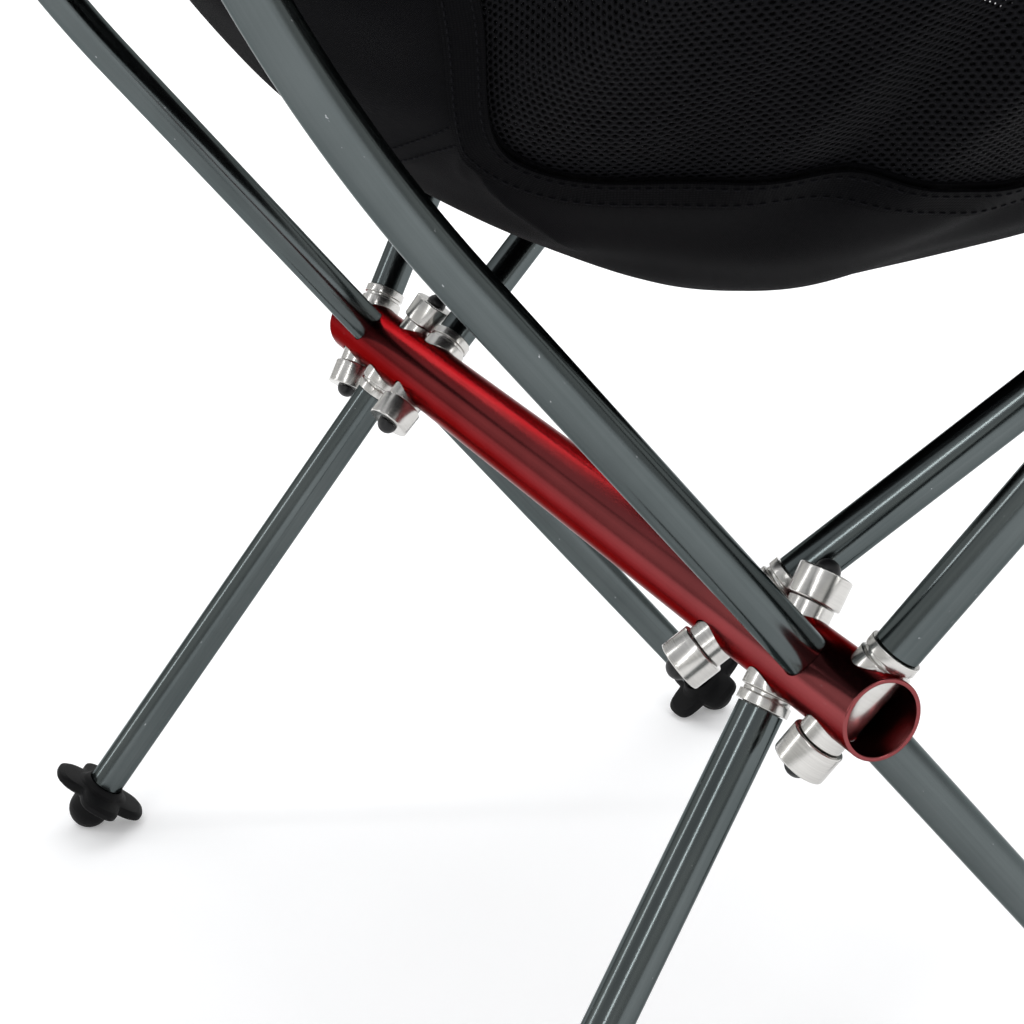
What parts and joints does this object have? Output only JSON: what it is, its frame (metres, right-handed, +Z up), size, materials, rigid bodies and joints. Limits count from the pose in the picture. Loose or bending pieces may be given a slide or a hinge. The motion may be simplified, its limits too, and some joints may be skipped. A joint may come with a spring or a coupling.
{
  "type": "backpacking chair",
  "caption": "Low shock-corded pole-frame chair: one cross hub, four legs, six upper poles and a black sling seat with mesh wings.",
  "frame": {"origin": "on the ground, below the middle of the bounding box", "axes": "+Z up; the sitter faces -Y; +X is the sitter's left, along the hub tube"},
  "size_m": [0.5244, 0.4876, 0.667],
  "materials": {
    "red_anodised": "satin red anodised tube with a glossy highlight line",
    "gunmetal_anodised": "grey anodised drawn tube, semi-gloss",
    "turned_silver": "bright turned aluminium with fine lathe lines",
    "shock_cord": "black braided elastic cord",
    "black_rubber": "matt moulded rubber",
    "black_plastic": "satin moulded plastic",
    "air_mesh": "black air mesh with small hexagonal openings",
    "woven_fabric": "fine black ripstop weave"
  },
  "bodies": {
    "hub": {"hub_tube": "red_anodised", "rear_leg_spool_right": "turned_silver", "rear_leg_cap_right": "turned_silver", "rear_leg_cord_right": "shock_cord", "side_pole_spool_right": "turned_silver", "side_pole_cap_right": "turned_silver", "side_pole_cord_right": "shock_cord", "seat_pole_spool_right": "turned_silver", "seat_pole_cap_right": "turned_silver", "seat_pole_cord_right": "shock_cord", "main_spigot_right": "turned_silver", "main_cord_right": "shock_cord", "rear_leg_spool_left": "turned_silver", "rear_leg_cap_left": "turned_silver", "rear_leg_cord_left": "shock_cord", "side_pole_spool_left": "turned_silver", "side_pole_cap_left": "turned_silver", "side_pole_cord_left": "shock_cord", "seat_pole_spool_left": "turned_silver", "seat_pole_cap_left": "turned_silver", "seat_pole_cord_left": "shock_cord", "main_spigot_left": "turned_silver", "main_cord_left": "shock_cord"},
    "rear_leg_group_right": {"rear_leg_right": "gunmetal_anodised", "rear_foot_right": "black_rubber"},
    "front_leg_group_right": {"front_leg_right": "gunmetal_anodised", "front_foot_right": "black_rubber"},
    "side_pole_group_right": {"side_pole_right": "gunmetal_anodised", "side_pole_tip_right": "black_plastic"},
    "seat_pole_group_right": {"seat_pole_right": "gunmetal_anodised", "seat_pole_tip_right": "black_plastic"},
    "back_lower_group_right": {"back_pole_lower_right": "gunmetal_anodised", "back_pole_joint_right": "turned_silver"},
    "back_upper_group_right": {"back_pole_upper_right": "gunmetal_anodised", "back_pole_tip_right": "black_plastic"},
    "rear_leg_group_left": {"rear_leg_left": "gunmetal_anodised", "rear_foot_left": "black_rubber"},
    "front_leg_group_left": {"front_leg_left": "gunmetal_anodised", "front_foot_left": "black_rubber"},
    "side_pole_group_left": {"side_pole_left": "gunmetal_anodised", "side_pole_tip_left": "black_plastic"},
    "seat_pole_group_left": {"seat_pole_left": "gunmetal_anodised", "seat_pole_tip_left": "black_plastic"},
    "back_lower_group_left": {"back_pole_lower_left": "gunmetal_anodised", "back_pole_joint_left": "turned_silver"},
    "back_upper_group_left": {"back_pole_upper_left": "gunmetal_anodised", "back_pole_tip_left": "black_plastic"},
    "seat": {"front_pocket_right": "woven_fabric", "side_pocket_right": "woven_fabric", "back_pocket_right": "woven_fabric", "front_pocket_left": "woven_fabric", "side_pocket_left": "woven_fabric", "back_pocket_left": "woven_fabric", "seat_panel": "woven_fabric", "back_panel": "woven_fabric", "wing_left": "air_mesh", "wing_right": "air_mesh"}
  },
  "joints": [
    {"name": "rear_leg_pull_right", "type": "slide", "parent": "hub", "child": "rear_leg_group_right", "axis": [-0.1564, 0.5509, -0.8198], "range_m": [0, 0.022], "stiffness_N_per_m": 80, "springref_m": -0.1},
    {"name": "front_leg_pull_right", "type": "slide", "parent": "hub", "child": "front_leg_group_right", "axis": [-0.0366, -0.6477, -0.761], "range_m": [0, 0.022], "stiffness_N_per_m": 80, "springref_m": -0.1},
    {"name": "side_pole_pull_right", "type": "slide", "parent": "hub", "child": "side_pole_group_right", "axis": [-0.2689, -0.5104, 0.8168], "range_m": [0, 0.022], "stiffness_N_per_m": 80, "springref_m": -0.1},
    {"name": "seat_pole_pull_right", "type": "slide", "parent": "hub", "child": "seat_pole_group_right", "axis": [-0.2453, -0.735, 0.6322], "range_m": [0, 0.022], "stiffness_N_per_m": 80, "springref_m": -0.1},
    {"name": "back_lower_pull_right", "type": "slide", "parent": "hub", "child": "back_lower_group_right", "axis": [0.0366, 0.6477, 0.761], "range_m": [0, 0.014], "stiffness_N_per_m": 80, "springref_m": -0.1},
    {"name": "back_upper_pull_right", "type": "slide", "parent": "back_lower_group_right", "child": "back_upper_group_right", "axis": [-0.0736, 0.3299, 0.9412], "range_m": [0, 0.022], "stiffness_N_per_m": 80, "springref_m": -0.1},
    {"name": "rear_leg_pull_left", "type": "slide", "parent": "hub", "child": "rear_leg_group_left", "axis": [0.1564, 0.5509, -0.8198], "range_m": [0, 0.022], "stiffness_N_per_m": 80, "springref_m": -0.1},
    {"name": "front_leg_pull_left", "type": "slide", "parent": "hub", "child": "front_leg_group_left", "axis": [0.0366, -0.6477, -0.761], "range_m": [0, 0.022], "stiffness_N_per_m": 80, "springref_m": -0.1},
    {"name": "side_pole_pull_left", "type": "slide", "parent": "hub", "child": "side_pole_group_left", "axis": [0.2689, -0.5104, 0.8168], "range_m": [0, 0.022], "stiffness_N_per_m": 80, "springref_m": -0.1},
    {"name": "seat_pole_pull_left", "type": "slide", "parent": "hub", "child": "seat_pole_group_left", "axis": [0.2453, -0.735, 0.6322], "range_m": [0, 0.022], "stiffness_N_per_m": 80, "springref_m": -0.1},
    {"name": "back_lower_pull_left", "type": "slide", "parent": "hub", "child": "back_lower_group_left", "axis": [-0.0366, 0.6477, 0.761], "range_m": [0, 0.014], "stiffness_N_per_m": 80, "springref_m": -0.1},
    {"name": "back_upper_pull_left", "type": "slide", "parent": "back_lower_group_left", "child": "back_upper_group_left", "axis": [0.0736, 0.3299, 0.9412], "range_m": [0, 0.022], "stiffness_N_per_m": 80, "springref_m": -0.1},
    {"name": "seat_lift", "type": "slide", "parent": "hub", "child": "seat", "axis": [0, 0, 1], "range_m": [0, 0.15]}
  ]
}
